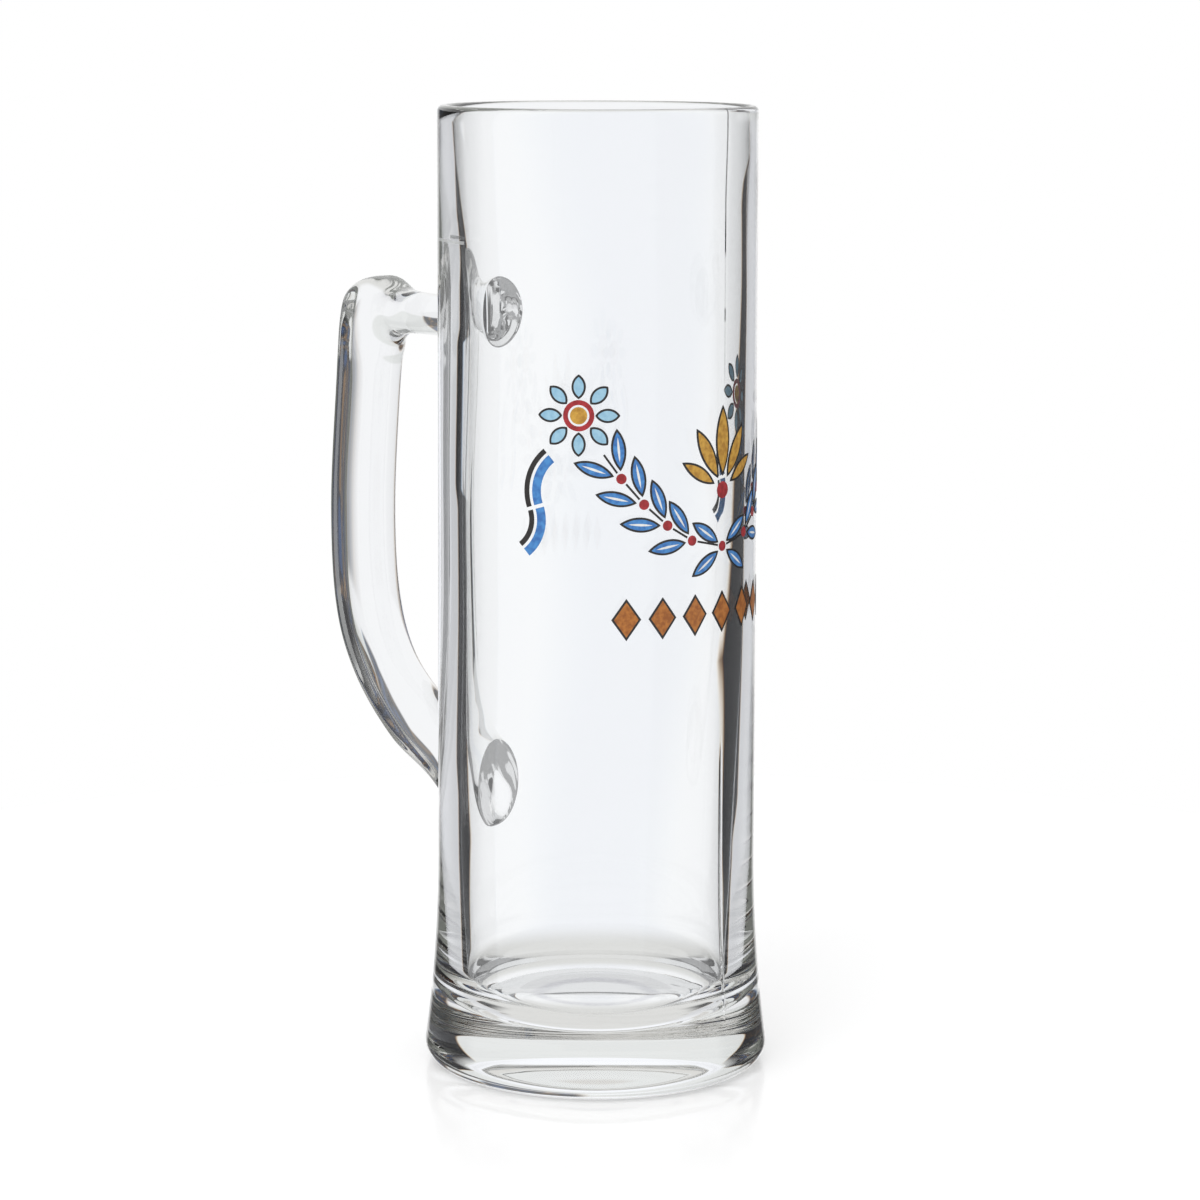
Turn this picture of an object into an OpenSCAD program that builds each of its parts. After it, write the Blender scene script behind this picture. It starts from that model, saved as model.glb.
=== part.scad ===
// Beer mug: a tall glass body with a heavy foot, a glass handle welded on at two pads,
// a fired enamel ornament in seven colours and a fill mark under the lip.
// Millimetres, Z up. The origin is on the mug's axis at the standing plane.
// The handle lies along -X and the ornament is centred on +X.

/* [Body] */
// Height from the standing plane to the lip
height = 210; // [204:1:222]
// Outer radius at the lip
rim_r = 34.4; // [33.6:0.1:35.4]
// Outer radius where the foot flare meets the wall
wall_r = 34.8; // [34.2:0.1:36]
// Largest radius of the foot
foot_r = 37.8; // [37:0.1:41]
// Height where the foot flare meets the wall
flare_z = 48.7; // [44:0.1:52]
// Rounding of the heel
heel_r = 4.3; // [2:0.1:6]
// Wall thickness at the lip
lip_wall = 2.5; // [2:0.1:3.2]
// Wall thickness along the straight wall
wall_mid = 3.8; // [3.3:0.1:4.4]
// Wall thickness above the foot
wall_low = 4.8; // [4.5:0.1:6]
// Height of the inside floor
floor_z = 11.5; // [9.5:0.5:16]
// Rounding between the inside floor and the wall
corner_r = 11.5; // [6:0.5:14]
// Radius of the recess under the foot
punt_r = 27; // [20:0.5:30]
// Depth of the recess under the foot
punt_depth = 3; // [1:0.1:5]

/* [Handle] */
// Distance from the axis to the middle of the grip at its fullest
reach = 69.3; // [66:0.1:74]
// Height of the grip's fullest point
grip_z = 118; // [114:1:122]
// Thickness of the grip, seen from the side
grip_t = 13; // [11:0.1:14.5]
// Width of the grip, seen from behind
grip_w = 14; // [11:0.1:16]
// Squareness of the section's outer half, where 2 is an ellipse
square_p = 4; // [2:0.1:6]
// Middle height of the bridge at the top
bridge_z = 162.4; // [159:0.2:166]
// Height of the bridge's section
bridge_t = 9.3; // [8:0.1:11]
// Rise of the thumb rest above the bridge
thumb_rise = 3.3; // [1:0.1:5]
// Rounding inside the knee
knee_in = 5; // [3:0.1:7]
// Rounding outside the knee
knee_out = 9; // [6:0.1:11]
// Height of the upper weld pad
upper_pad = 14.5; // [12:0.5:18]
// Middle height of the lower weld pad
tail_z = 57.6; // [55:0.2:61]
// Height of the lower weld pad
lower_pad = 20; // [16:0.5:23]
// Width of both weld pads
pad_w = 16.5; // [13:0.5:19]

/* [Enamel] */
// Thickness of the fired enamel
enamel_t = 0.12; // [0.08:0.01:0.3]
// Width of the black outlines
line_w = 0.45; // [0.3:0.05:0.6]
// Height of the garland's lowest point
garland_z = 118; // [116:0.5:122]
// Rise of the garland from its middle to the rosettes
garland_rise = 29; // [26:0.5:32]
// Distance along the wall from the middle of the ornament to a rosette
rosette_u = 34; // [33:0.5:36]
// Length of a garland leaf
leaf_l = 9; // [7:0.1:9.4]
// Width of a garland leaf
leaf_w = 3.2; // [2.4:0.1:3.4]
// Radius of a rosette
rosette_r = 8.6; // [7:0.1:9]
// Length of the longest leaf in the fan
fan_leaf = 15; // [11:0.5:16]
// Distance of the lozenge row below the garland
lozenge_drop = 14; // [13:0.5:17]
// Width of a lozenge
lozenge_w = 6.4; // [5:0.1:7]
// Height of a lozenge
lozenge_h = 9; // [7:0.1:9.6]
// Distance of the fill line below the lip
fill_drop = 28.3; // [24:0.1:33]
// Length of the fill line
fill_l = 14; // [10:0.5:18]
// Direction of the fill line from the middle of the ornament, in degrees
fill_turn = -116; // [-130:1:-100]

/* [Hidden] */
$fn = 96;

// Foot: the flare arc touches the wall at flare_z and the heel circle at its own slope
heel_x = foot_r - heel_r;
flare_a = wall_r - heel_x;
flare_h = flare_z - heel_r;
flare_r = (pow(flare_a, 2) + pow(flare_h, 2) - pow(heel_r, 2)) / (2 * (foot_r - wall_r));
touch_t = heel_r / (flare_r + heel_r);
touch_x = heel_x + touch_t * (wall_r + flare_r - heel_x);
touch_z = heel_r + touch_t * flare_h;
punt_arc = (punt_r * punt_r + punt_depth * punt_depth) / (2 * punt_depth);
lip_r = lip_wall / 2;
shoulder_z = 0.8 * height;
waist_z = 0.43 * height;

// Loft: rings between two stations, and points round one ring
span_n = 5;
ring_n = 32;

// Ornament
leaf_pairs = 5;
leaf_gap = 1.6;
leaf_spread = 33;
petals = 8;
petal_l = 0.6 * rosette_r;
petal_w = 0.35 * rosette_r;
fan_turns = [-60, -30, 0, 30, 60];
fan_z = garland_z + 0.8 * fan_leaf;
ribbon_r = 9;
lozenge_z = garland_z - lozenge_drop;
lozenge_step = 1.25 * lozenge_w;
fill_z = height - fill_drop;

function mix(a, b, t) = a + (b - a) * t;

// Outer radius of the straight wall at a height
function wall_at(z) = mix(wall_r, rim_r, (z - flare_z) / (height - lip_r - flare_z));

module outer_section() {
  difference() {
    polygon([
      [0, 0], [heel_x, 0], [touch_x, touch_z], [wall_r, flare_z],
      [rim_r, height - lip_r], [0, height - lip_r]
    ]);
    translate([wall_r + flare_r, flare_z])
      circle(flare_r);
  }
  translate([heel_x, heel_r])
    circle(heel_r);
}

module cavity_section() {
  low_r = wall_r - wall_low;
  corner_x = low_r - 0.6;
  polygon([
    [0, floor_z], [corner_x - corner_r, floor_z], [corner_x, floor_z + corner_r],
    [low_r, flare_z], [wall_at(waist_z) - wall_mid, waist_z],
    [wall_at(shoulder_z) - wall_mid, shoulder_z],
    [rim_r - lip_wall, height - lip_r], [rim_r - lip_wall, height + 1], [0, height + 1]
  ]);
  translate([corner_x - corner_r, floor_z + corner_r])
    circle(corner_r);
}

module body() {
  color([0.86, 0.92, 0.90, 0.4])
    rotate_extrude() {
      difference() {
        outer_section();
        cavity_section();
        translate([0, punt_depth - punt_arc])
          circle(punt_arc);
        translate([-height, -height])
          square([height, 3 * height]);
      }
      translate([rim_r - lip_r, height - lip_r])
        circle(lip_r);
    }
}

// Handle stations: inner radius, inner height, outer radius, outer height, half width and how far
// the section has gone from an ellipse, at 0, to the grip's own shape, at 1.
// They run from the upper weld along the bridge, round the knee and down the grip to the lower weld.
top_r = wall_at(bridge_z);
low_r = wall_at(tail_z);
under_z = bridge_z - bridge_t / 2;
over_z = bridge_z + bridge_t / 2;
crest_z = over_z + thumb_rise;
pad_hi = bridge_z + upper_pad / 2 + 0.6;
pad_lo = bridge_z - upper_pad / 2 + 0.6;
grip_in = reach - grip_t / 2;
grip_out = reach + grip_t / 2;
knee_x = grip_in - 3.3;
crest_x = grip_out - 3.4 - knee_out;
tail_in = tail_z + lower_pad / 2;
tail_out = tail_z - lower_pad / 2;

function knee_row(ai, ao, w, q) = [
  knee_x - knee_in + knee_in * sin(ai), under_z - knee_in + knee_in * cos(ai),
  crest_x + knee_out * sin(ao), crest_z - knee_out + knee_out * cos(ao), w, q
];
function tail_row(ri, zi, ro, zo, w, q = 1) = [
  mix(low_r, grip_in, ri), mix(tail_in, grip_z, zi),
  mix(low_r, grip_out, ro), mix(tail_out, grip_z, zo), w, q
];

stations = [
  [top_r - 2.5, pad_lo, top_r - 2.5, pad_hi, pad_w / 2, 0],
  [top_r + 0.7, pad_lo + 0.2, top_r + 0.7, pad_hi - 0.3, pad_w / 2, 0],
  [top_r + 4.5, under_z - 0.4, top_r + 4.5, over_z + 1.5, pad_w / 2 - 0.7, 0.1],
  [mix(top_r, knee_x, 0.5), under_z, mix(top_r, knee_x, 0.5), over_z, 0.42 * grip_w, 0.2],
  knee_row(0, -46, 0.45 * grip_w, 0.4),
  knee_row(30, 0, 0.48 * grip_w, 0.7),
  knee_row(60, 45, grip_w / 2, 1),
  knee_row(90, 88, grip_w / 2, 1),
  [grip_in - 1.9, mix(grip_z, under_z, 0.70), grip_out - 2.1, mix(grip_z, under_z, 0.74), grip_w / 2, 1],
  [grip_in, grip_z, grip_out, grip_z, grip_w / 2, 1],
  tail_row(0.957, 0.60, 0.966, 0.66, grip_w / 2),
  tail_row(0.793, 0.334, 0.818, 0.436, grip_w / 2),
  tail_row(0.472, 0.155, 0.548, 0.248, grip_w / 2),
  tail_row(0.187, 0.056, 0.268, 0.136, grip_w / 2, 0.7),
  tail_row(0.020, 0.006, 0.045, 0.014, pad_w / 2, 0.2),
  [low_r - 2.7, tail_in - 0.8, low_r - 2.7, tail_out - 2.0, pad_w / 2, 0]
];

function before(P, i) = i > 0 ? P[i - 1] : 2 * P[0] - P[1];
function after(P, i) = i + 2 < len(P) ? P[i + 2] : 2 * P[i + 1] - P[i];
function spline(P, i, t) = 0.5 * (
  2 * P[i] + (P[i + 1] - before(P, i)) * t
  + (2 * before(P, i) - 5 * P[i] + 4 * P[i + 1] - after(P, i)) * t * t
  + (3 * P[i] - before(P, i) - 3 * P[i + 1] + after(P, i)) * t * t * t
);
function bulge(v, p) = sign(v) * pow(abs(v), 2 / p);
function ring(s) = [
  for (j = [0 : ring_n - 1])
    let (
      a = 360 * j / ring_n,
      p = cos(a) > 0 ? mix(2, square_p, s[5]) : 2,
      e = (1 + bulge(cos(a), p)) / 2
    )
      [-mix(s[0], s[2], e), s[4] * bulge(sin(a), p), mix(s[1], s[3], e)]
];

module handle_loft() {
  rows = [
    for (i = [0 : len(stations) - 2], k = [0 : span_n - 1]) spline(stations, i, k / span_n),
    stations[len(stations) - 1]
  ];
  n = len(rows);
  points = [for (s = rows) each ring(s)];
  sides = [
    for (i = [0 : n - 2], j = [0 : ring_n - 1])
      let (a = i * ring_n + j, b = i * ring_n + (j + 1) % ring_n)
        each [[a, a + ring_n, b], [b, a + ring_n, b + ring_n]]
  ];
  near_end = [[for (j = [0 : ring_n - 1]) j]];
  far_end = [[for (j = [ring_n - 1 : -1 : 0]) (n - 1) * ring_n + j]];
  polyhedron(points, concat(near_end, sides, far_end), convexity = 6);
}

module handle() {
  color([0.88, 0.93, 0.92, 0.5])
    difference() {
      handle_loft();
      rotate_extrude()
        outer_section();
    }
}

// Thin enamel layer between two heights of the outer wall
module enamel_layer(z0, z1) {
  difference() {
    translate([0, 0, z0])
      cylinder(h = z1 - z0, r1 = wall_at(z0) + enamel_t, r2 = wall_at(z1) + enamel_t);
    translate([0, 0, z0 - 1])
      cylinder(h = z1 - z0 + 2, r1 = wall_at(z0 - 1), r2 = wall_at(z1 + 1));
  }
}

// Flat shape set against the wall at a distance along it and a height
module on_wall(u, z, tilt = 0) {
  rotate([0, 0, u / wall_at(z) * 180 / PI])
    translate([wall_at(z) - 3, 0, z])
      rotate([90, 0, 90])
        linear_extrude(6)
          rotate(tilt)
            children();
}

module enamel() {
  intersection() {
    enamel_layer(lozenge_z - lozenge_h, garland_z + garland_rise + 1.6 * rosette_r);
    union()
      children();
  }
}

// Pointed leaf along X, drawn in by an even margin
module leaf(l, w, margin = 0) {
  r = (l * l + w * w) / (4 * w);
  intersection() {
    translate([0, r - w / 2])
      circle(r - margin, $fn = 250);
    translate([0, w / 2 - r])
      circle(r - margin, $fn = 250);
  }
}

module leaf_outline(l, w) {
  difference() {
    leaf(l, w);
    leaf(l, w, line_w);
  }
}

function garland_u(side, i) = side * rosette_u * pow(i / 6, 0.75);
function garland_h(u) = garland_z + garland_rise * pow(u / rosette_u, 2);
function garland_dir(side, u) =
  (side < 0 ? 180 : 0) + atan(2 * garland_rise * u / pow(rosette_u, 2));

module each_leaf() {
  for (side = [-1, 1], i = [0 : leaf_pairs - 1], turn = [-leaf_spread, leaf_spread]) {
    u = garland_u(side, i);
    a = garland_dir(side, u) + turn;
    d = leaf_gap + leaf_l / 2;
    on_wall(u + d * cos(a), garland_h(u) + d * sin(a), a)
      children();
  }
}

module each_stem() {
  for (side = [-1, 1], i = [0 : leaf_pairs - 1]) {
    u0 = garland_u(side, i);
    u1 = garland_u(side, i + 1);
    z0 = garland_h(u0);
    z1 = garland_h(u1);
    l = norm([u1 - u0, z1 - z0]);
    on_wall((u0 + u1) / 2, (z0 + z1) / 2, atan2(z1 - z0, u1 - u0))
      square([l - 3, line_w], center = true);
  }
}

module each_petal() {
  for (side = [-1, 1])
    on_wall(side * rosette_u, garland_z + garland_rise)
      for (k = [0 : petals - 1])
        rotate(360 * k / petals)
          translate([rosette_r - petal_l / 2, 0])
            children();
}

module each_rosette() {
  for (side = [-1, 1])
    on_wall(side * rosette_u, garland_z + garland_rise)
      children();
}

// Fan of leaves above the garland's middle
module each_fan_leaf(fill) {
  for (turn = fan_turns) {
    l = fan_leaf * (1 - abs(turn) / 190);
    d = 0.2 * fan_leaf + l / 2;
    on_wall(-d * sin(turn), fan_z + d * cos(turn), 90 + turn)
      if (fill)
        leaf(l, 0.3 * l, line_w);
      else
        leaf_outline(l, 0.3 * l);
  }
}

// Ribbon that hangs from each rosette: two arcs of one slope, with a stencil gap between them
module arc_band(r, w, a0, a1) {
  intersection() {
    difference() {
      circle(r + w / 2);
      circle(r - w / 2);
    }
    polygon([
      [0, 0], 3 * r * [cos(a0), sin(a0)],
      3 * r * [cos((a0 + a1) / 2), sin((a0 + a1) / 2)], 3 * r * [cos(a1), sin(a1)]
    ]);
  }
}

module each_ribbon(w, shift) {
  for (side = [-1, 1]) {
    u = side * rosette_u;
    z = garland_z + garland_rise - 16;
    on_wall(u, z)
      mirror([side > 0 ? 1 : 0, 0]) {
        arc_band(ribbon_r + shift, w, 130, 198);
        translate(2 * ribbon_r * [cos(200), sin(200)])
          arc_band(ribbon_r - shift, w, -50, 17);
      }
  }
}

module each_lozenge() {
  for (k = [-3 : 3])
    on_wall(lozenge_step * k, lozenge_z)
      children();
}

module lozenge(margin) {
  s = 1 - 2 * margin * norm([1 / lozenge_w, 1 / lozenge_h]);
  x = s * lozenge_w / 2;
  z = s * lozenge_h / 2;
  polygon([[x, 0], [0, z], [-x, 0], [0, -z]]);
}

module print_black() {
  color([0.10, 0.09, 0.09])
    enamel() {
      each_leaf()
        leaf_outline(leaf_l, leaf_w);
      each_stem();
      each_petal()
        leaf_outline(petal_l, petal_w);
      each_fan_leaf(false);
      each_ribbon(1.1, 2.1);
      each_lozenge()
        difference() {
          lozenge(0);
          lozenge(line_w);
        }
    }
}

module print_blue() {
  color([0.23, 0.50, 0.78])
    enamel() {
      each_leaf()
        difference() {
          leaf(leaf_l, leaf_w, line_w);
          leaf(0.6 * leaf_l, 0.5);
        }
      each_ribbon(1.9, 0);
    }
}

module print_white() {
  color([0.96, 0.96, 0.94])
    enamel()
      each_leaf()
        leaf(0.6 * leaf_l, 0.5);
}

module print_sky() {
  color([0.62, 0.79, 0.88])
    enamel()
      each_petal()
        leaf(petal_l, petal_w, line_w);
}

module print_red() {
  color([0.68, 0.14, 0.18])
    enamel() {
      each_rosette()
        difference() {
          circle(0.38 * rosette_r);
          circle(0.26 * rosette_r);
        }
      for (side = [-1, 1], i = [1 : leaf_pairs - 1])
        on_wall(garland_u(side, i), garland_h(garland_u(side, i)))
          circle(1.1);
      on_wall(0, garland_z)
        circle(1.1);
      on_wall(0, fan_z)
        circle(0.12 * fan_leaf);
    }
}

module print_gold() {
  color([0.80, 0.60, 0.20])
    enamel() {
      each_rosette()
        circle(0.21 * rosette_r);
      each_fan_leaf(true);
    }
}

module print_copper() {
  color([0.72, 0.42, 0.16])
    enamel()
      each_lozenge()
        lozenge(line_w);
}

module fill_mark() {
  color([0.93, 0.94, 0.94])
    intersection() {
      enamel_layer(fill_z - 3, fill_z + 3);
      on_wall(fill_turn * PI / 180 * wall_at(fill_z), fill_z)
        square([fill_l, 0.7], center = true);
    }
}

body();
handle();
fill_mark();
print_black();
print_blue();
print_sky();
print_red();
print_gold();
print_copper();
print_white();
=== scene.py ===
import math

import bpy
import numpy as np
from mathutils import Matrix, Vector


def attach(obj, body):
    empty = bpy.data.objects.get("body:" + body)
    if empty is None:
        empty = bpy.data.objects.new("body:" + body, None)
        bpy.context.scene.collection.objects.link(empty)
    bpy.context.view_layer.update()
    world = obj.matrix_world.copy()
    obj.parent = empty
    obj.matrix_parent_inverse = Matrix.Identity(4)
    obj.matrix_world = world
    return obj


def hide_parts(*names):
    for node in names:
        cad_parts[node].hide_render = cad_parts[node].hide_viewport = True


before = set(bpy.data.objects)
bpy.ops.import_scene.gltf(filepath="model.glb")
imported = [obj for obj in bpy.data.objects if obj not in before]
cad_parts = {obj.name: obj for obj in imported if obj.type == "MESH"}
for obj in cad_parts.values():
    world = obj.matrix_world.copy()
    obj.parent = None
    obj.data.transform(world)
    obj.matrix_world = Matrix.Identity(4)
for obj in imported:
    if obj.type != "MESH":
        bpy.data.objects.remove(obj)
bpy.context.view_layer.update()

# Sizes in millimetres, as in the solid model
MM = 0.001
HEIGHT, RIM_R, WALL_R, FOOT_R = 210.0, 34.4, 34.8, 37.8
FLARE_Z, HEEL_R, LIP_WALL = 48.7, 4.3, 2.5
FLOOR_Z, CORNER_R, PUNT_R, PUNT_DEPTH = 11.5, 11.5, 27.0, 3.0
REACH, GRIP_Z, GRIP_T, GRIP_W, SQUARE = 69.3, 118.0, 13.0, 14.0, 4.0
BRIDGE_Z, BRIDGE_T, THUMB, KNEE_IN, KNEE_OUT = 162.4, 9.3, 3.3, 5.0, 9.0
UPPER_PAD, TAIL_Z, LOWER_PAD, PAD_W = 14.5, 57.6, 20.0, 16.5

LIP_R = LIP_WALL / 2
LIP_Z = HEIGHT - LIP_R
HEEL_X = FOOT_R - HEEL_R
FLARE_H = FLARE_Z - HEEL_R
FLARE_R = ((WALL_R - HEEL_X) ** 2 + FLARE_H ** 2 - HEEL_R ** 2) / (2 * (FOOT_R - WALL_R))
TOUCH_T = HEEL_R / (FLARE_R + HEEL_R)
TOUCH_Z = HEEL_R + TOUCH_T * FLARE_H
VIEW_AZ = math.radians(40.0)


def mix(a, b, t):
    return a + (b - a) * t


def wall_at(z):
    return mix(WALL_R, RIM_R, (z - FLARE_Z) / (LIP_Z - FLARE_Z))


def outer_r(z):
    """Outer radius of the body at a height, over heel, flare and wall."""
    z = np.asarray(z, float)
    flare = WALL_R + FLARE_R - np.sqrt(np.maximum(FLARE_R ** 2 - (z - FLARE_Z) ** 2, 0))
    heel = HEEL_X + np.sqrt(np.maximum(HEEL_R ** 2 - (z - HEEL_R) ** 2, 0))
    return np.where(z >= FLARE_Z, wall_at(z), np.where(z >= TOUCH_Z, flare, heel))


def cubic(knots):
    """Natural cubic curve through (x, y) knots, as a function."""
    k = np.array(sorted(knots), float)
    x, y = k[:, 0], k[:, 1]
    n, h = len(x), np.diff(x)
    a, b = np.zeros((n, n)), np.zeros(n)
    a[0, 0] = a[-1, -1] = 1
    for i in range(1, n - 1):
        a[i, i - 1:i + 2] = h[i - 1], 2 * (h[i - 1] + h[i]), h[i]
        b[i] = 6 * ((y[i + 1] - y[i]) / h[i] - (y[i] - y[i - 1]) / h[i - 1])
    m = np.linalg.solve(a, b)

    def f(q):
        q = np.asarray(q, float)
        i = np.clip(np.searchsorted(x, q) - 1, 0, n - 2)
        u, v = x[i + 1] - q, q - x[i]
        return ((m[i] * u ** 3 + m[i + 1] * v ** 3) / (6 * h[i])
                + (y[i] / h[i] - m[i] * h[i] / 6) * u + (y[i + 1] / h[i] - m[i + 1] * h[i] / 6) * v)
    return f


# The bore of the wall isn't quite even or quite central, as in pressed glass
inner_r = cubic([(208.75, 31.9), (202, 31.85), (190, 31.45), (168, 30.6), (130, 30.7),
                 (95, 30.62), (70, 30.45), (48.7, 30.05), (36, 29.7), (26, 29.4)])
inner_shift = cubic([(208.75, 0.5), (202, 0.7), (190, 0.8), (168, 1.25), (130, 1.0),
                     (95, 0.94), (70, 0.45), (46, 0.1), (36, 0.03), (26, 0.0)])
SHIFT_DIR = np.array([math.cos(VIEW_AZ), math.sin(VIEW_AZ)])


def new_mesh(name, verts, faces, mats, face_mat=None):
    """A smooth mesh object in metres that rides on the mug."""
    used = np.zeros(len(verts), bool)
    for f in faces:
        used[list(f)] = True
    remap = np.cumsum(used) - 1
    me = bpy.data.meshes.new(name)
    me.from_pydata([tuple(v) for v in np.asarray(verts)[used] * MM], [],
                   [[int(remap[i]) for i in f] for f in faces])
    for m in mats:
        me.materials.append(m)
    me.polygons.foreach_set("use_smooth", [True] * len(me.polygons))
    if face_mat is not None:
        me.polygons.foreach_set("material_index", face_mat)
    me.validate()
    me.update()
    ob = bpy.data.objects.new(name, me)
    bpy.context.scene.collection.objects.link(ob)
    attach(ob, "root")
    return ob


# Node trees: values are written as sums and products of terms
class Term:
    """A value in a node tree, which makes a Math node when it is added, multiplied and so on."""

    def __init__(self, tree, socket):
        self.tree = tree
        self.socket = socket

    def calc(self, kind, *others):
        return calc(self.tree, kind, self, *others)

    def __add__(self, other):
        return self.calc("ADD", other)

    def __radd__(self, other):
        return calc(self.tree, "ADD", other, self)

    def __sub__(self, other):
        return self.calc("SUBTRACT", other)

    def __rsub__(self, other):
        return calc(self.tree, "SUBTRACT", other, self)

    def __mul__(self, other):
        return self.calc("MULTIPLY", other)

    def __rmul__(self, other):
        return calc(self.tree, "MULTIPLY", other, self)

    def ramp(self, lo, hi, to_lo=0.0, to_hi=1.0, kind="SMOOTHSTEP"):
        """Goes from to_lo to to_hi while this term goes from lo to hi."""
        node = self.tree.nodes.new("ShaderNodeMapRange")
        node.interpolation_type = kind
        for name, value in (("From Min", lo), ("From Max", hi), ("To Min", to_lo), ("To Max", to_hi)):
            node.inputs[name].default_value = value
        feed(self, node.inputs["Value"])
        return Term(self.tree, node.outputs["Result"])


def feed(value, socket):
    """Links a term to a socket, or sets the socket to a constant."""
    if isinstance(value, Term):
        value.tree.links.new(value.socket, socket)
    else:
        socket.default_value = value


def calc(tree, kind, *values):
    node = tree.nodes.new("ShaderNodeMath")
    node.operation = kind
    for value, socket in zip(values, node.inputs):
        feed(value, socket)
    return Term(tree, node.outputs[0])


def mixed_colour(tree, factor, a, b):
    node = tree.nodes.new("ShaderNodeMix")
    node.data_type = "RGBA"
    feed(factor, node.inputs["Factor"])
    feed(a, node.inputs[6])
    feed(b, node.inputs[7])
    return Term(tree, node.outputs[2])


def coordinates(tree, kind):
    """The three parts of a texture coordinate, and the coordinate itself."""
    coords = tree.nodes.new("ShaderNodeTexCoord")
    split = tree.nodes.new("ShaderNodeSeparateXYZ")
    tree.links.new(coords.outputs[kind], split.inputs[0])
    return [Term(tree, part) for part in split.outputs], coords.outputs[kind]


def noise(tree, scale, stretch=(1, 1, 1), detail=2.0):
    coords = tree.nodes.new("ShaderNodeTexCoord")
    mapping = tree.nodes.new("ShaderNodeMapping")
    mapping.inputs["Scale"].default_value = stretch
    node = tree.nodes.new("ShaderNodeTexNoise")
    node.inputs["Scale"].default_value = scale
    node.inputs["Detail"].default_value = detail
    tree.links.new(coords.outputs["Object"], mapping.inputs["Vector"])
    tree.links.new(mapping.outputs["Vector"], node.inputs["Vector"])
    return Term(tree, node.outputs["Fac"])


# Materials
GLASS_COLOUR, GLASS_IOR = (0.992, 0.996, 0.994, 1), 1.52
BODY_WAVES = [(26.0, (1, 1, 0.25), 0.00002), (120.0, (1, 1, 0.5), 0.000002)]
HANDLE_WAVES = [(60.0, (1, 1, 0.6), 0.00002)]
EVEN_FOOT = 0.020, 0.034
# A ring of painted shade on the cavity's floor, over the plunger's mark, by its heights and radii in metres
RING_Z, RING_R = (0.008, 0.009, 0.0125, 0.0135), (0.0105, 0.0128, 0.0138, 0.0155)
RING_SHADE_COLOUR = (0.60, 0.60, 0.65, 1)
# The hairline of the mould's seam on the upper wall, painted dark as the seam's shade, in metres
SEAM_Y, SEAM_CORE, SEAM_W = 0.0006, 0.00014, 0.00032
SEAM_LEAN, SEAM_START = (0.189, 0.2075), (0.150, 0.156)
SEAM_UPPER, SEAM_PALER = (0.1785, 0.1805, 0.35, 1), (0.184, 0.190, 1, 0.92)
SEAM_LOWER = (0.1648, 0.1660, 0.1680, 0.1690, 0.95)
# Near black for the seam's painted shade
SEAM_SHADE_COLOUR = (0.002, 0.002, 0.003, 1)
OUTER_SKIN = 0.0330, 0.0335
# Fired enamel: scales of its grain, shine and relief, and the range of its roughness
ENAMEL_GRAIN, ENAMEL_SHINE, ENAMEL_RELIEF = 900.0, 260.0, 1400.0
ENAMEL_ROUGH, ENAMEL_RISE = (0.34, 0.5), 0.00002


def new_material(name):
    mat = bpy.data.materials.new(name)
    mat.use_nodes = True
    return mat, mat.node_tree, mat.node_tree.nodes["Principled BSDF"]


def add_bump(tree, bsdf, layers, strength=1.0):
    """Stacks bump layers of (height, distance in metres)."""
    last = None
    for height, distance in layers:
        bump = tree.nodes.new("ShaderNodeBump")
        feed(strength, bump.inputs["Strength"])
        bump.inputs["Distance"].default_value = distance
        feed(height, bump.inputs["Height"])
        if last is not None:
            tree.links.new(last, bump.inputs["Normal"])
        last = bump.outputs["Normal"]
    tree.links.new(last, bsdf.inputs["Normal"])


def glass_material(name):
    mat, tree, bsdf = new_material(name)
    bsdf.inputs["Base Color"].default_value = GLASS_COLOUR
    bsdf.inputs["Transmission Weight"].default_value = 1.0
    bsdf.inputs["IOR"].default_value = GLASS_IOR
    bsdf.inputs["Roughness"].default_value = 0.0
    return mat, tree, bsdf


def add_waves(tree, bsdf, waves, strength=1.0):
    """Slight waves of (scale, stretch, distance in metres)."""
    layers = [(noise(tree, scale, stretch, 1.0), distance) for scale, stretch, distance in waves]
    add_bump(tree, bsdf, layers, strength)


def between(x, rise, risen, fall, fallen, top=1.0):
    return x.ramp(rise, risen, 0, top) * x.ramp(fall, fallen, 1, 0)


def body_material(name):
    """Clear glass, even in the foot, with a ring of painted shade on the cavity's floor and a seam's
    hairline painted dark as shade.
    """
    mat, tree, bsdf = glass_material(name)
    (x, y, z), _ = coordinates(tree, "Object")
    add_waves(tree, bsdf, BODY_WAVES, z.ramp(*EVEN_FOOT))
    r = (x * x + y * y).calc("SQRT")
    patchy = noise(tree, 220.0, detail=3.0).ramp(0.3, 0.7, 0.55, 1.0)
    # The plunger's ring mark, painted grey in patches as shade
    ring_shade = between(r, *RING_R) * between(z, *RING_Z) * patchy
    colour = mixed_colour(tree, ring_shade, GLASS_COLOUR, RING_SHADE_COLOUR)

    # The hairline of painted shade is broken, and lies across from the handle
    off = (y - z.ramp(*SEAM_LEAN, SEAM_Y, 2 * SEAM_Y)).calc("ABSOLUTE")
    line = off.ramp(SEAM_CORE, SEAM_W, 1, 0) * r.ramp(*OUTER_SKIN) * x.ramp(0.0, 0.01)
    upper = z.ramp(*SEAM_UPPER) * z.ramp(*SEAM_PALER)
    length = upper.calc("MAXIMUM", between(z, *SEAM_LOWER)) * z.ramp(*SEAM_START)
    feed(mixed_colour(tree, line * length, colour, SEAM_SHADE_COLOUR), bsdf.inputs["Base Color"])
    return mat


def handle_material(name):
    mat, tree, bsdf = glass_material(name)
    add_waves(tree, bsdf, HANDLE_WAVES)
    return mat


def weld_material(name):
    """Inside of a hot weld: glass meets glass, so nothing bends the light there."""
    mat, tree, bsdf = new_material(name)
    clear = tree.nodes.new("ShaderNodeBsdfTransparent")
    tree.links.new(clear.outputs["BSDF"], tree.nodes["Material Output"].inputs["Surface"])
    tree.nodes.remove(bsdf)
    return mat


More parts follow.
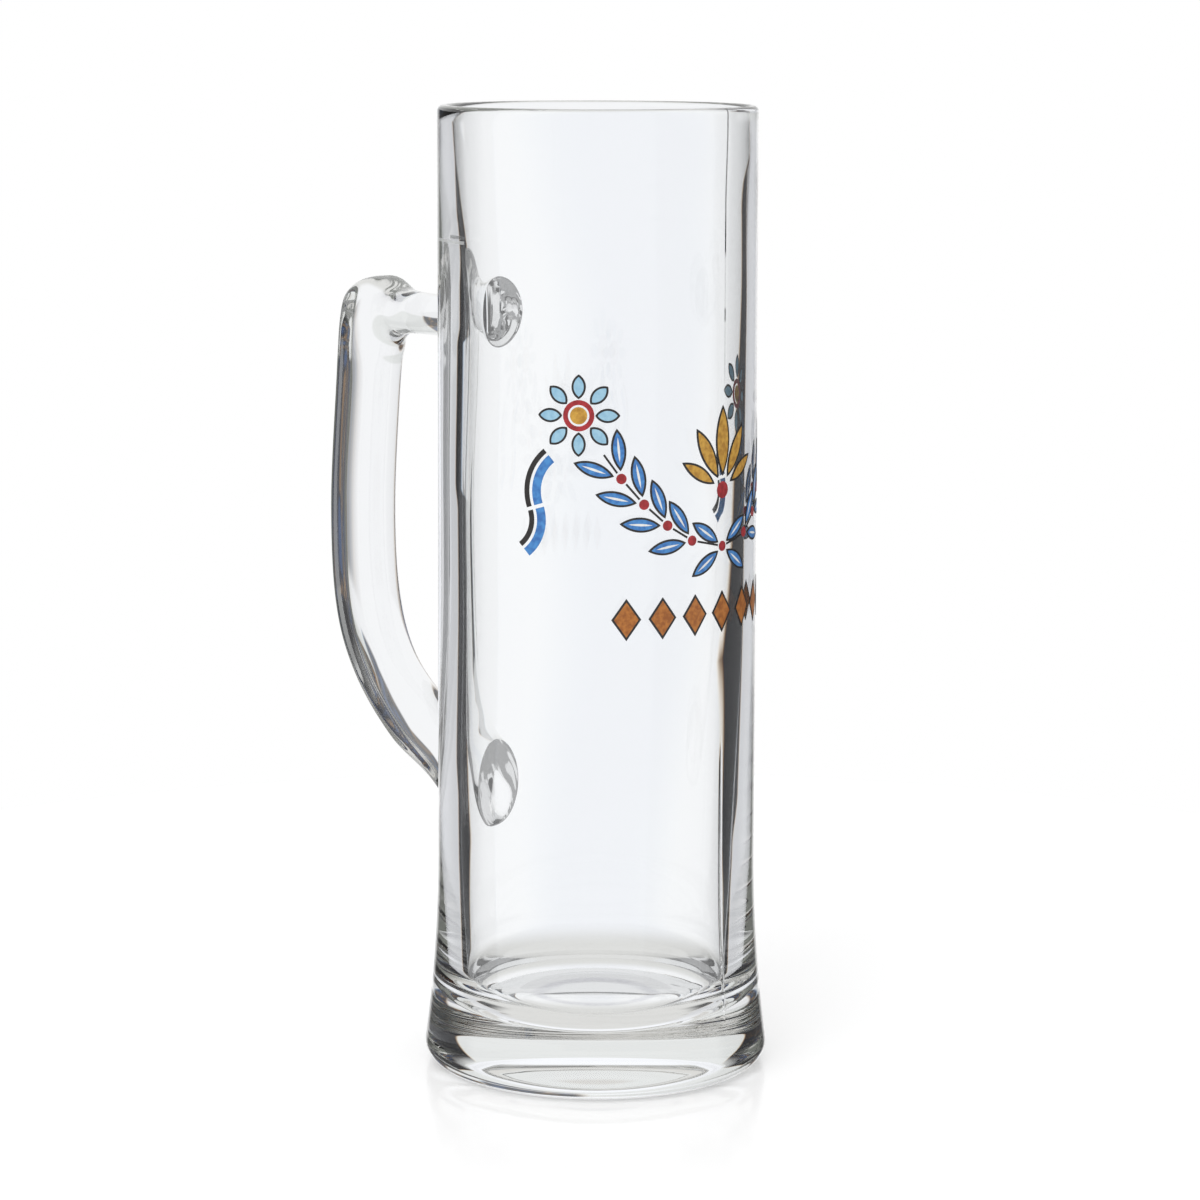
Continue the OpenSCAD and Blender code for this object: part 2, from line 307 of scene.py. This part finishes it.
def enamel_material(name, colour, dark):
    """Fired enamel with a fine grain of two tones and an uneven shine."""
    mat, tree, bsdf = new_material(name)
    tones = tree.nodes.new("ShaderNodeValToRGB")
    for element, place, tone in zip(tones.color_ramp.elements, (0.36, 0.62), (dark, colour)):
        element.position = place
        element.color = (*tone, 1)
    feed(noise(tree, ENAMEL_GRAIN, detail=3.0), tones.inputs["Fac"])
    tree.links.new(tones.outputs["Color"], bsdf.inputs["Base Color"])
    rough = noise(tree, ENAMEL_SHINE).ramp(0.3, 0.7, *ENAMEL_ROUGH, "LINEAR")
    feed(rough, bsdf.inputs["Roughness"])
    add_bump(tree, bsdf, [(noise(tree, ENAMEL_RELIEF), ENAMEL_RISE)])
    return mat


GLASS = body_material("clear_glass")
HANDLE_GLASS = handle_material("handle_glass")
WELD = weld_material("weld_seam")


# Handle: a loft of a rounded-square section through stations of
# inner radius, inner height, outer radius, outer height, half width and squareness
TOP_R, LOW_R = wall_at(BRIDGE_Z), wall_at(TAIL_Z)
UNDER_Z, OVER_Z = BRIDGE_Z - BRIDGE_T / 2, BRIDGE_Z + BRIDGE_T / 2
CREST_Z = OVER_Z + THUMB
PAD_HI, PAD_LO = BRIDGE_Z + UPPER_PAD / 2 + 0.6, BRIDGE_Z - UPPER_PAD / 2 + 0.6
GRIP_IN, GRIP_OUT = REACH - GRIP_T / 2, REACH + GRIP_T / 2
KNEE_X, CREST_X = GRIP_IN - 3.3, GRIP_OUT - 3.4 - KNEE_OUT
TAIL_IN, TAIL_OUT = TAIL_Z + LOWER_PAD / 2, TAIL_Z - LOWER_PAD / 2


def knee_row(ai, ao, w, q):
    """A station on the knee, by its angles on the inner and the outer bend."""
    si, ci = math.sin(math.radians(ai)), math.cos(math.radians(ai))
    so, co = math.sin(math.radians(ao)), math.cos(math.radians(ao))
    return (KNEE_X - KNEE_IN + KNEE_IN * si, UNDER_Z - KNEE_IN + KNEE_IN * ci,
            CREST_X + KNEE_OUT * so, CREST_Z - KNEE_OUT + KNEE_OUT * co, w, q)


def tail_row(ri, zi, ro, zo, w, q=1.0):
    """A station on the tail, by shares of the way from the lower pad to the grip."""
    return (mix(LOW_R, GRIP_IN, ri), mix(TAIL_IN, GRIP_Z, zi),
            mix(LOW_R, GRIP_OUT, ro), mix(TAIL_OUT, GRIP_Z, zo), w, q)


HALF = GRIP_W / 2
STATIONS = np.array([
    (TOP_R - 2.5, PAD_LO, TOP_R - 2.5, PAD_HI, PAD_W / 2, 0),
    (TOP_R + 0.7, PAD_LO + 0.2, TOP_R + 0.7, PAD_HI - 0.3, PAD_W / 2, 0),
    (TOP_R + 4.5, UNDER_Z - 0.4, TOP_R + 4.5, OVER_Z + 1.5, PAD_W / 2 - 0.7, 0.1),
    (mix(TOP_R, KNEE_X, 0.5), UNDER_Z, mix(TOP_R, KNEE_X, 0.5), OVER_Z, 0.42 * GRIP_W, 0.2),
    knee_row(0, -46, 0.45 * GRIP_W, 0.4),
    knee_row(30, 0, 0.48 * GRIP_W, 0.7),
    knee_row(60, 45, HALF, 1),
    knee_row(90, 88, HALF, 1),
    (GRIP_IN - 1.9, mix(GRIP_Z, UNDER_Z, 0.70), GRIP_OUT - 2.1, mix(GRIP_Z, UNDER_Z, 0.74), HALF, 1),
    (GRIP_IN, GRIP_Z, GRIP_OUT, GRIP_Z, HALF, 1),
    tail_row(0.957, 0.60, 0.966, 0.66, HALF),
    tail_row(0.793, 0.334, 0.818, 0.436, HALF),
    tail_row(0.472, 0.155, 0.548, 0.248, HALF),
    tail_row(0.187, 0.056, 0.268, 0.136, HALF, 0.7),
    tail_row(0.020, 0.006, 0.045, 0.014, PAD_W / 2, 0.2),
    (LOW_R - 2.7, TAIL_IN - 0.8, LOW_R - 2.7, TAIL_OUT - 2.0, PAD_W / 2, 0),
])
LAST = len(STATIONS) - 1


def station(sigma):
    """Catmull-Rom between the stations, for an array of parameters."""
    sigma = np.asarray(sigma, float)
    p = np.vstack([2 * STATIONS[0] - STATIONS[1], STATIONS, 2 * STATIONS[-1] - STATIONS[-2]])
    i = np.clip(np.floor(sigma).astype(int), 0, LAST - 1)
    t = (sigma - i)[..., None]
    a, b, c, d = p[i], p[i + 1], p[i + 2], p[i + 3]
    return 0.5 * (2 * b + (c - a) * t + (2 * a - 5 * b + 4 * c - d) * t ** 2
                  + (3 * b - a - 3 * c + d) * t ** 3)


# Points round a section, paired with the edge of a square window in the body's grid
WIN_COLS, WIN_ROWS = 26, 38
half_c = WIN_COLS // 2
edge_s = np.array([1.0] * half_c + list(np.linspace(1, -1, WIN_ROWS + 1)[:-1]) + [-1.0] * WIN_COLS
                  + list(np.linspace(-1, 1, WIN_ROWS + 1)[:-1]) + [1.0] * half_c)
edge_t = np.array(list(np.linspace(0, 1, half_c + 1)[:-1]) + [1.0] * WIN_ROWS
                  + list(np.linspace(1, -1, WIN_COLS + 1)[:-1]) + [-1.0] * WIN_ROWS
                  + list(np.linspace(-1, 0, half_c + 1)[:-1]))
RING = len(edge_s)
square = np.where(edge_s > 0, SQUARE, 2.0)


def loft_point(sigma):
    """One point on each line round the section, at its own parameter."""
    st = station(sigma)
    p = mix(2.0, square, st[..., 5])
    size = (np.abs(edge_s) ** p + np.abs(edge_t) ** p) ** (1 / p)
    e = (1 + edge_s / size) / 2
    r, z = mix(st[..., 0], st[..., 2], e), mix(st[..., 1], st[..., 3], e)
    return np.stack([-r, st[..., 4] * edge_t / size, z], -1)


def meet_wall(inside, outside):
    """Parameter on each line where the loft leaves the body's outer surface."""
    lo, hi = np.full(RING, float(inside)), np.full(RING, float(outside))
    for _ in range(44):
        mid = (lo + hi) / 2
        p = loft_point(mid)
        out = np.hypot(p[:, 0], p[:, 1]) > outer_r(p[:, 2])
        lo, hi = np.where(out, lo, mid), np.where(out, mid, hi)
    return hi


def on_wall(angle, z):
    r = outer_r(z)
    return np.stack([r * np.cos(angle), r * np.sin(angle), z], -1)


def weld_patch(loop):
    """Rings from a weld's edge to its middle, on the body's surface, as (angle, height)."""
    angle = np.arctan2(loop[:, 1], loop[:, 0]) % (2 * math.pi)
    az = np.stack([angle, loop[:, 2]], -1)
    middle = az.mean(0)
    rings = [mix(middle, az, f) for f in np.linspace(1, 0, 13)[:-1]]
    return rings, middle


def patch_faces(first, count, centre, flip):
    """Faces of rings that start at index first, closed by a fan to one centre vertex."""
    out = []
    for k in range(count - 1):
        for j in range(RING):
            a, b = first + k * RING + j, first + k * RING + (j + 1) % RING
            out.append((a, b, b + RING, a + RING))
    base = first + (count - 1) * RING
    out += [(base + j, base + (j + 1) % RING, centre) for j in range(RING)]
    return [tuple(reversed(f)) for f in out] if flip else out


start, end = meet_wall(0, 2.0), meet_wall(LAST, LAST - 2.0)
rows = [loft_point(mix(start, 2.5, t)) for t in np.linspace(0, 1, 31)[:-1]]
rows += [loft_point(np.full(RING, s)) for s in np.arange(2.5, LAST - 2.5, 1 / 20)]
rows += [loft_point(mix(LAST - 2.5, end, t)) for t in np.linspace(0, 1, 31)]
upper_rings, upper_mid = weld_patch(rows[0])
lower_rings, lower_mid = weld_patch(rows[-1])


def make_handle():
    """The loft, closed at both ends by a weld's patch."""
    verts = list(np.concatenate(rows))
    faces = []
    for i in range(len(rows) - 1):
        for j in range(RING):
            a, b = i * RING + j, i * RING + (j + 1) % RING
            faces.append((a, b, b + RING, a + RING))
    plain = len(faces)
    for row, rings, mid, flip in ((0, upper_rings, upper_mid, True),
                                  (len(rows) - 1, lower_rings, lower_mid, False)):
        base = len(verts)
        for ring in rings[1:]:
            verts += list(on_wall(ring[:, 0], ring[:, 1]))
        verts.append(on_wall(*mid))
        sub = patch_faces(base, len(rings) - 1, len(verts) - 1, flip)
        for j in range(RING):
            a, b = row * RING + j, row * RING + (j + 1) % RING
            c, d = base + j, base + (j + 1) % RING
            sub.append((a, c, d, b) if flip else (a, b, d, c))
        faces += sub
    mats = [0] * plain + [1] * (len(faces) - plain)
    ob = new_mesh("handle_glass", verts, faces, [HANDLE_GLASS, WELD], mats)
    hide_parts("handle")


# Body: a turned profile with a mould seam, an uneven bore and two weld windows
UNDER, OUTSIDE, LIP, INSIDE = range(4)
COLUMNS, COLUMN_STEP, SEAM_STEPS = 300, 1.2, (-0.45 % 360, -0.2 % 360, 0.2, 0.45)
LOW_WINDOW, UP_WINDOW = (43.5, 72.0), (152.0, 176.7)
CORE_R, DISH, BORE_END = 1.2, 0.3, 26.0
# The seam's ridge across from the handle and behind it: height, half width in degrees, and its ends
RIDGE, RIDGE_HALF, BACK_RIDGE, BACK_HALF = 0.10, 0.45, 0.05, 1.2
RIDGE_FROM, RIDGE_GROWS, RIDGE_TO, RIDGE_FADES = 14, 10, 75, 25


def make_body():
    angles = np.radians(np.sort(np.concatenate([np.arange(COLUMNS) * COLUMN_STEP, SEAM_STEPS])))
    cols = len(angles)
    mid_col = int(np.argmin(np.abs(angles - math.pi)))

    prof, kind = [], []

    def add(r, z, k):
        prof.append((r, z))
        kind.append(k)

    arc = (PUNT_R ** 2 + PUNT_DEPTH ** 2) / (2 * PUNT_DEPTH)
    for r in np.concatenate([np.linspace(CORE_R, PUNT_R - 0.8, 26), [PUNT_R - 0.35]]):
        add(r, PUNT_DEPTH - arc + math.sqrt(arc ** 2 - r ** 2), UNDER)
    for r in (PUNT_R + 0.15, PUNT_R + 0.6, PUNT_R + 1.5, 30.0, 32.0, 33.0):
        add(r, 0.0, UNDER)
    touch = math.atan2(FLARE_H, WALL_R + FLARE_R - HEEL_X)
    for t in np.linspace(-math.pi / 2, touch, 15):
        add(HEEL_X + HEEL_R * math.cos(t), HEEL_R + HEEL_R * math.sin(t), OUTSIDE)
    zs = list(np.linspace(TOUCH_Z, LOW_WINDOW[0], 26)[1:])
    low_row = len(prof) + len(zs) - 1
    zs += list(np.linspace(*LOW_WINDOW, WIN_ROWS + 1)[1:])
    zs += list(np.linspace(LOW_WINDOW[1], UP_WINDOW[0], 44)[1:])
    up_row = len(prof) + len(zs) - 1
    zs += list(np.linspace(*UP_WINDOW, WIN_ROWS + 1)[1:])
    zs += list(np.linspace(UP_WINDOW[1], LIP_Z, 20)[1:])
    for z in zs:
        add(float(outer_r(z)), z, OUTSIDE)
    for t in np.linspace(0, math.pi, 17)[1:]:
        add(RIM_R - LIP_R + LIP_R * math.cos(t), LIP_Z + LIP_R * math.sin(t), LIP)
    for z in np.linspace(LIP_Z, FLOOR_Z + CORNER_R, 96)[1:]:
        add(float(inner_r(z)), z, INSIDE)
    corner_x = float(inner_r(FLOOR_Z + CORNER_R)) - CORNER_R
    for t in np.linspace(0, math.pi / 2, 20)[1:]:
        add(corner_x + CORNER_R * math.cos(t), FLOOR_Z + CORNER_R - CORNER_R * math.sin(t), INSIDE)
    for r in np.linspace(corner_x, CORE_R, 36)[1:]:
        add(r, FLOOR_Z - DISH * (1 - (r / corner_x) ** 2) ** 2, INSIDE)

    verts = []
    turn = np.degrees((angles + math.pi) % (2 * math.pi) - math.pi)
    back = np.abs(np.degrees(angles) - 180.0)
    ridge = (RIDGE * np.clip(1 - np.abs(turn) / RIDGE_HALF, 0, 1)
             + BACK_RIDGE * np.clip(1 - back / BACK_HALF, 0, 1))
    for (r, z), k in zip(prof, kind):
        rr = np.full(cols, r)
        if k == OUTSIDE and RIDGE_FROM < z < RIDGE_TO:
            rr = rr + ridge * min(1.0, (z - RIDGE_FROM) / RIDGE_GROWS, (RIDGE_TO - z) / RIDGE_FADES)
        ring = np.stack([rr * np.cos(angles), rr * np.sin(angles), np.full(cols, z)], -1)
        if k == INSIDE:
            ring[:, :2] += SHIFT_DIR * float(inner_shift(max(z, BORE_END)))
        if k == LIP:
            t = math.atan2(z - LIP_Z, r - (RIM_R - LIP_R)) / math.pi
            ring[:, :2] += SHIFT_DIR * float(inner_shift(LIP_Z)) * max(t, 0.0) ** 2
        verts += list(ring)

    faces = []
    for i in range(len(prof) - 1):
        in_rows = low_row <= i < low_row + WIN_ROWS or up_row <= i < up_row + WIN_ROWS
        for j in range(cols):
            if in_rows and abs(j + 0.5 - mid_col) < half_c:
                continue
            a, b = i * cols + j, i * cols + (j + 1) % cols
            faces.append((a, b, b + cols, a + cols))
    for row, z, flip in ((0, PUNT_DEPTH, True), (len(prof) - 1, FLOOR_Z - DISH, False)):
        verts.append(np.array([0.0, 0.0, z]))
        for j in range(cols):
            a, b = row * cols + j, row * cols + (j + 1) % cols
            faces.append((b, a, len(verts) - 1) if flip else (a, b, len(verts) - 1))

    weld_faces = []
    for row0, rings, mid, up in ((up_row, upper_rings, upper_mid, True),
                                 (low_row, lower_rings, lower_mid, False)):
        row = row0 + np.round((1 + edge_s if up else 1 - edge_s) / 2 * WIN_ROWS).astype(int)
        col = mid_col - np.round(edge_t * half_c).astype(int)
        rim = [int(a * cols + b) for a, b in zip(row, col)]
        rim_az = np.stack([angles[col], np.array([prof[a][1] for a in row])], -1)
        base = len(verts)
        steps = np.linspace(1, 0, 8)[1:]
        for f in steps:
            az = mix(rings[0], rim_az, f)
            verts += list(on_wall(az[:, 0], az[:, 1]))
        for j in range(RING):
            a, b = rim[j], rim[(j + 1) % RING]
            c, d = base + j, base + (j + 1) % RING
            faces.append((a, b, d, c) if up else (a, c, d, b))
        for k in range(len(steps) - 1):
            for j in range(RING):
                a, b = base + k * RING + j, base + k * RING + (j + 1) % RING
                q = (a, b, b + RING, a + RING)
                faces.append(q if up else tuple(reversed(q)))
        edge = base + (len(steps) - 1) * RING
        first = len(verts)
        for ring in rings[1:]:
            verts += list(on_wall(ring[:, 0], ring[:, 1]))
        verts.append(on_wall(*mid))
        sub = patch_faces(first, len(rings) - 1, len(verts) - 1, not up)
        for j in range(RING):
            a, b = edge + j, edge + (j + 1) % RING
            c, d = first + j, first + (j + 1) % RING
            sub.append((a, b, d, c) if up else (a, c, d, b))
        weld_faces += sub
    mats = [0] * len(faces) + [1] * len(weld_faces)
    ob = new_mesh("body_glass", verts, faces + weld_faces, [GLASS, WELD], mats)
    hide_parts("body")


make_handle()
make_body()

# Fired enamel: each layer's tone, and the darker tone of its grain
ENAMEL = {
    "print_black": ((0.016, 0.014, 0.014), (0.006, 0.005, 0.005)),
    "print_blue": ((0.070, 0.270, 0.620), (0.035, 0.150, 0.440)),
    "print_sky": ((0.360, 0.600, 0.750), (0.270, 0.500, 0.670)),
    "print_red": ((0.420, 0.022, 0.030), (0.260, 0.010, 0.014)),
    "print_gold": ((0.640, 0.360, 0.050), (0.420, 0.200, 0.020)),
    "print_copper": ((0.480, 0.170, 0.028), (0.300, 0.090, 0.012)),
    "print_white": ((0.880, 0.880, 0.860), (0.780, 0.780, 0.760)),
    "fill_mark": ((0.800, 0.810, 0.810), (0.660, 0.670, 0.670)),
}
MARK_ALPHA = 0.4
for name, (colour, dark) in ENAMEL.items():
    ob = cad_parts[name]
    ob.data.materials.clear()
    mat = enamel_material("enamel_" + name, colour, dark)
    if name == "fill_mark":
        mat.node_tree.nodes["Principled BSDF"].inputs["Alpha"].default_value = MARK_ALPHA
    ob.data.materials.append(mat)

# Stage: a pale floor that the glass stands on, lifted for the camera's own rays
STAGE_R, STAGE_Z, STAGE_SIDES = 0.30, -0.00005, 96
STAGE_GREY, STAGE_ROUGH, STAGE_SHINE, STAGE_LIFT = 0.80, 0.14, 0.2, 0.30
scene = bpy.context.scene


def make_floor():
    me = bpy.data.meshes.new("floor")
    turns = [2 * math.pi * k / STAGE_SIDES for k in range(STAGE_SIDES)]
    me.from_pydata([(STAGE_R * math.cos(t), STAGE_R * math.sin(t), STAGE_Z) for t in turns], [],
                   [list(range(STAGE_SIDES))])
    floor = bpy.data.objects.new("floor", me)
    scene.collection.objects.link(floor)
    floor.visible_transmission = floor.visible_glossy = False
    mat, tree, bsdf = new_material("floor_white")
    bsdf.inputs["Base Color"].default_value = (STAGE_GREY, STAGE_GREY, STAGE_GREY, 1)
    bsdf.inputs["Roughness"].default_value = STAGE_ROUGH
    bsdf.inputs["Specular IOR Level"].default_value = STAGE_SHINE
    bsdf.inputs["Emission Color"].default_value = (1, 1, 1, 1)
    path = tree.nodes.new("ShaderNodeLightPath")
    feed(Term(tree, path.outputs["Is Camera Ray"]) * STAGE_LIFT, bsdf.inputs["Emission Strength"])
    me.materials.append(mat)


make_floor()

# World: plain light for everything but rays that leave the glass, which see a white panel
# with dark flags beside it, as behind glass in a studio
AMBIENT = 0.8
PANEL, PANEL_MIDDLE, PANEL_SOLID = (0.985, 0.992, 1.01), (0.915, 0.93, 0.97), 0.94
FLAG = (0.020, 0.020, 0.023)
SLATE, WARM, COOL = (0.045, 0.048, 0.06), (0.20, 0.11, 0.03), (0.015, 0.05, 0.14)
TABLE, LINEN = (0.72, 0.72, 0.705), (0.695, 0.685, 0.66)
CEILING, MURK = (0.80, 0.815, 0.81), (0.17, 0.18, 0.16)
GLEAM, GLEAM_WIDE = (0.975, 0.99, 1.03), 0.68
# How bright the panel is after bounces in the wall
BOUNCE_WIDE, BOUNCE_NEAR, BOUNCE_MORE = 0.85, 0.25, 0.10
BOUNCE_STEEP, BOUNCE_LONG = 0.78, 0.36
SHEEN = 0.12
# Glass spreads colours a little, which shows as fringes where a flag ends
SPREAD = (-0.15, 0.0, 0.15)
# Edges of the flags in degrees from the middle of the panel: the edge itself, then a fall under which
# and a fall over which it leans away, each with its degrees for each unit of fall
# The tops add a lean for nearly level rays, and the flags further round repeat at a step
FLAG_RIGHT, FLAG_LEFT = (8.8, 0.21, 50.0, 0.21, 115.0), (21.0, 0.25, 60.0, 0.26, 50.0)
TOP_RIGHT, TOP_LEFT = (0.115, 150.0), (0.14, 170.0)
RIGHT_END, LEFT_END = 33.0, 41.0
FLAG_STEP, FLAG_LO, FLAG_HI = 45.0, 9.0, 26.0


def make_world():
    world = bpy.data.worlds.new("studio")
    scene.world = world
    world.use_nodes = True
    tree = world.node_tree

    def blend(a, b, t):
        return (1.0 - t) * a + t * b

    def band(x, lo, hi, soft=1.0):
        return (x - lo).ramp(-soft, soft) * (hi - x).ramp(-soft, soft)

    def most(*values):
        out = values[0]
        for value in values[1:]:
            out = calc(tree, "MAXIMUM", out, value)
        return out

    # The ray's direction, as degrees right of the photograph's own view, and its fall
    (dx, dy, dz), direction = coordinates(tree, "Generated")
    ca, sa = math.cos(VIEW_AZ), math.sin(VIEW_AZ)
    side = dx * ca + dy * sa
    ahead = dy * ca - dx * sa
    theta = side.calc("ARCTAN2", ahead) * (180 / math.pi)
    fall = dz * -1.0
    level = 1.0 - dz.calc("ABSOLUTE").ramp(0.6, 0.85)

    # The ray's past: its kind, and how often it passed or was reflected in glass
    path = tree.nodes.new("ShaderNodeLightPath").outputs
    kinds = ("Is Camera Ray", "Is Glossy Ray", "Is Transmission Ray")
    camera, glossy, through = (Term(tree, path[kind]) for kind in kinds)
    passes, bounces = Term(tree, path["Transmission Depth"]), Term(tree, path["Glossy Depth"])
    walls, behind = (passes.calc("GREATER_THAN", n) for n in (2.5, 5.5))
    bounced, twice, often, always = (bounces.calc("GREATER_THAN", n) for n in (0.5, 1.5, 3.5, 5.5))

    def flag_edge(edge, lo, lo_rate, hi, hi_rate, top, top_rate):
        """A flag's edge in degrees, which leans away from the panel outside a range of falls."""
        lean = most(0.0, (lo - fall) * lo_rate, (fall - hi) * hi_rate)
        return edge + lean + most(0.0, top - fall) * top_rate

    flag_right = flag_edge(*FLAG_RIGHT, *TOP_RIGHT)
    flag_left = flag_edge(*FLAG_LEFT, *TOP_LEFT)
    right_end = RIGHT_END + fall.ramp(0.30, 0.36) * 5.0
    gleam_right = 38.0 + fall.ramp(0.09, 0.12) * 4.0 + fall.ramp(0.29, 0.31) * 6.5
    gleam_left = 40.0 + fall.ramp(0.105, 0.135) * 3.5 + fall.ramp(0.19, 0.23) * 3.0
    gleam_end = 49.0 + fall.ramp(0.110, 0.140) * 27.0
    shown = level * (1.0 - behind * 0.7 * fall.ramp(0.24, 0.32))

    # How far the ray rises or falls
    rising, high_rise = dz.ramp(0.02, 0.06), dz.ramp(0.12, 0.15)
    low_rise = dz.ramp(-0.01, 0.03) * 0.85
    gentle = band(fall, 0.09, 0.27, 0.02) * 0.65
    steep, table, overhead = fall.ramp(0.50, 0.72), fall.ramp(0.42, 0.70), dz.ramp(0.56, 0.68)
    flags_end = blend(blend(dz.ramp(0.50, 0.62), dz.ramp(0.60, 0.72), twice), dz.ramp(0.34, 0.48), often)

    # The panel's brightness after bounces in the wall
    once = blend(BOUNCE_WIDE, BOUNCE_NEAR, band(theta, -54.0, 20.0, 4.0))
    tilted = most(dz.ramp(0.0, 0.06), fall.ramp(0.45, 0.70))
    bounce = blend(blend(blend(once, BOUNCE_MORE, twice), BOUNCE_STEEP, tilted), BOUNCE_LONG, often)

    # Warm and cool patches in the dark that solid glass shows
    patches = tree.nodes.new("ShaderNodeTexNoise")
    patches.inputs["Scale"].default_value = 9.0
    tree.links.new(direction, patches.inputs["Vector"])
    patch = Term(tree, patches.outputs["Fac"])
    warm, cool = patch.ramp(0.52, 0.66), 1.0 - patch.ramp(0.36, 0.48)

    # The outside of the glass reflects the dark sides of the room near its edges
    aside = theta.calc("ABSOLUTE")
    sides = (1.0 - aside.ramp(80.0, 94.0)) * aside.ramp(14.0, 26.0)
    sheen = blend(1.0, SHEEN, sides * fall.ramp(-0.12, -0.06))
    plain = blend(blend(AMBIENT, sheen, glossy), 1.0, camera)

    colour = tree.nodes.new("ShaderNodeCombineColor")
    for i in range(3):
        t = theta + theta.calc("SIGN") * SPREAD[i]
        back = t * -1.0
        width = t.calc("ABSOLUTE")

        # Through both walls
        near = most(band(t, flag_right, right_end), band(back, flag_left, LEFT_END))
        far = band(t.calc("WRAP", FLAG_STEP, 0.0), FLAG_LO, FLAG_HI) * width.calc("GREATER_THAN", FLAG_STEP)
        panel = blend(PANEL_MIDDLE[i], PANEL[i], width.ramp(1.5, 6.0))
        wall = blend(blend(panel, TABLE[i], table), FLAG[i], most(near, far) * shown)
        wall = blend(wall, bounce * PANEL[i], bounced)

        # Dark places for solid glass without a bounce, with one and with more
        slope = t.ramp(14.0, 46.0) * (1.0 - t.ramp(62.0, 66.0))
        straight = most(band(t, 3.0, 31.0, 2.0) * low_rise,
                        band(t, 31.0, 51.0, 2.0) * high_rise,
                        slope * gentle,
                        band(t, 50.0, 66.0, 2.0),
                        band(back, 55.0, 66.0, 2.0))
        single = most(band(t, 59.0, 88.0),
                      band(t, 86.0, 140.0) * 0.55,
                      band(back, 59.0, 92.0),
                      most(band(t, 39.0, 60.0), band(back, 46.0, 60.0)) * high_rise,
                      most(band(t, gleam_right, 76.0), band(back, gleam_left, gleam_end)) * (1.0 - rising))
        more = most(width.ramp(46.0, 52.0) * (1.0 - band(t, 150.0, 172.0)),
                    often * fall.ramp(-0.08, -0.02))
        dark = blend(straight, blend(single, more, twice), bounced) * (1.0 - flags_end)

        # What solid glass shows where it is light, where it is dark and after many bounces
        gleam = GLEAM[i] * blend(1.0, GLEAM_WIDE, width.ramp(8.0, 45.0))
        light = blend(blend(PANEL_SOLID * PANEL[i], gleam, bounced), CEILING[i], rising)
        light = blend(light, LINEN[i], overhead)
        shade = SLATE[i] + (warm * WARM[i] + cool * COOL[i])
        shade = blend(shade, FLAG[i], most(rising, 1.0 - twice) * bounced)
        solid = blend(blend(light, shade, dark), TABLE[i], steep)
        solid = blend(solid, blend(MURK[i], LINEN[i], dz.ramp(0.25, 0.60)), always)
        feed(blend(plain, blend(solid, wall, walls), through), colour.inputs[i])
    tree.links.new(colour.outputs["Color"], tree.nodes["Background"].inputs["Color"])


make_world()

# Key light, for the floor's shadow and the enamel
KEY_SIZE, KEY_POWER = 0.6, 3.0
KEY_PLACE, KEY_AIM = (0.15, -0.75, 0.75), (0, 0, 0.1)


def make_key():
    key = bpy.data.lights.new("key", "AREA")
    key.shape = "RECTANGLE"
    key.size = key.size_y = KEY_SIZE
    key.energy = KEY_POWER
    ob = bpy.data.objects.new("key", key)
    scene.collection.objects.link(ob)
    ob.visible_glossy = ob.visible_transmission = False
    ob.location = KEY_PLACE
    ob.rotation_mode = "QUATERNION"
    ob.rotation_quaternion = (Vector(KEY_AIM) - ob.location).to_track_quat("-Z", "Y")


make_key()

# Camera, fitted to the photograph's rim, foot and walls
TILT, ROLL = math.radians(9.18), 0.0026
CAMERA_AWAY, CAMERA_UP = 0.78977, 0.23262
SENSOR, LENS, SHIFT = 36.0, 109.84, (0.00275, -0.0089)
CLIP = 0.01, 20.0


def make_camera():
    ca, sa = math.cos(VIEW_AZ), math.sin(VIEW_AZ)
    right = Vector((ca, sa, 0))
    up = Vector((-sa * math.sin(TILT), ca * math.sin(TILT), math.cos(TILT)))
    cam = bpy.data.cameras.new("camera")
    cam.sensor_width, cam.lens = SENSOR, LENS
    cam.shift_x, cam.shift_y = SHIFT
    cam.clip_start, cam.clip_end = CLIP
    ob = bpy.data.objects.new("camera", cam)
    scene.collection.objects.link(ob)
    turn = Matrix((right, up, right.cross(up))).transposed() @ Matrix.Rotation(ROLL, 3, "Z")
    place = Matrix.Translation((CAMERA_AWAY * sa, -CAMERA_AWAY * ca, CAMERA_UP))
    ob.matrix_world = place @ turn.to_4x4()
    scene.camera = ob


make_camera()

scene.view_settings.view_transform = "Standard"
scene.cycles.max_bounces = 40
scene.cycles.glossy_bounces = 32
scene.cycles.transmission_bounces = 24
